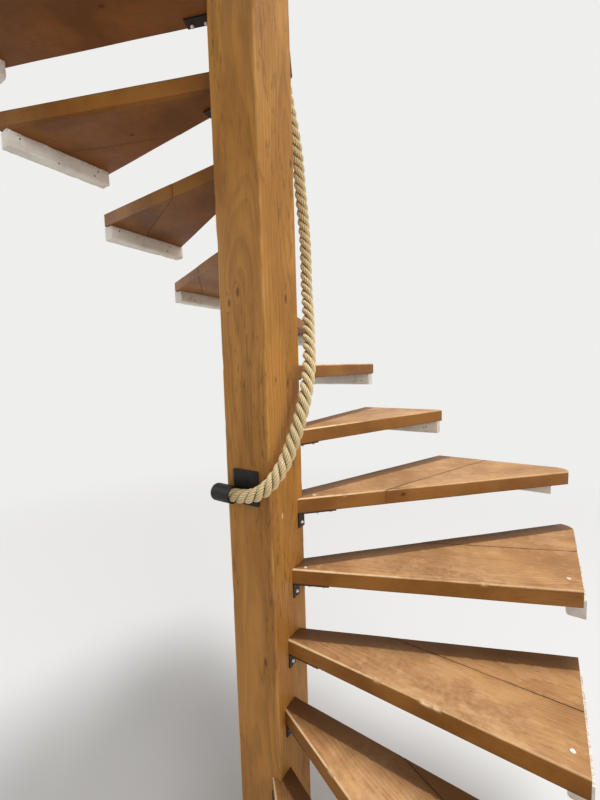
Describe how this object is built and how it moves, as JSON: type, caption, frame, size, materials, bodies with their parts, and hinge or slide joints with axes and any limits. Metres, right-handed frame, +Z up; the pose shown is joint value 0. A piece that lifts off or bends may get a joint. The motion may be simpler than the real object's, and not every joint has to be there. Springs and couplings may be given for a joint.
{
  "type": "winder staircase",
  "caption": "Winder staircase climbing anticlockwise round one square timber newel in a square well, with wedge treads on wall battens and iron angles, and a rope handrail.",
  "frame": {"origin": "centre of the newel post's foot on the floor", "axes": "+Z up along the newel, X and Y square to the newel's faces and to the walls of the well; the rope's lower cup is on the -Y face and the flight climbs anticlockwise seen from above"},
  "size_m": [1.578, 1.595, 3.728],
  "materials": {
    "newel_wood": "clear satin varnish, worn, with fine drying cracks",
    "tread_wood": "reddish brown stain under satin varnish, worn paler along the nosings",
    "white_paint": "white wall paint brushed over rough wood",
    "dark_iron": "black paint, satin",
    "screw_steel": "bright plated screw heads, a little tarnished",
    "rope_fibre": "matt laid rope of three strands, cream"
  },
  "bodies": {
    "root": {"newel_post": "newel_wood", "upright_01": "tread_wood", "tread_01": "tread_wood", "tread_02": "tread_wood", "tread_03": "tread_wood", "tread_04": "tread_wood", "tread_05": "tread_wood", "tread_06": "tread_wood", "tread_07": "tread_wood", "tread_08": "tread_wood", "tread_09": "tread_wood", "tread_10": "tread_wood", "tread_11": "tread_wood", "tread_12": "tread_wood", "tread_13": "tread_wood", "cleat_02": "white_paint", "cleat_03": "white_paint", "cleat_04": "white_paint", "cleat_05": "white_paint", "cleat_06": "white_paint", "cleat_07": "white_paint", "cleat_08": "white_paint", "cleat_09": "white_paint", "cleat_10": "white_paint", "cleat_11": "white_paint", "cleat_12": "white_paint", "cleat_13": "white_paint", "bracket_01": "dark_iron", "bracket_02": "dark_iron", "bracket_03": "dark_iron", "bracket_04": "dark_iron", "bracket_05": "dark_iron", "bracket_06": "dark_iron", "bracket_07": "dark_iron", "bracket_08": "dark_iron", "bracket_09": "dark_iron", "bracket_10": "dark_iron", "bracket_11": "dark_iron", "bracket_12": "dark_iron", "bracket_13": "dark_iron", "rope": "rope_fibre", "rope_plate_lower": "dark_iron", "rope_cup_lower": "dark_iron", "rope_plate_upper": "dark_iron", "rope_cup_upper": "dark_iron"}
  },
  "joints": []
}
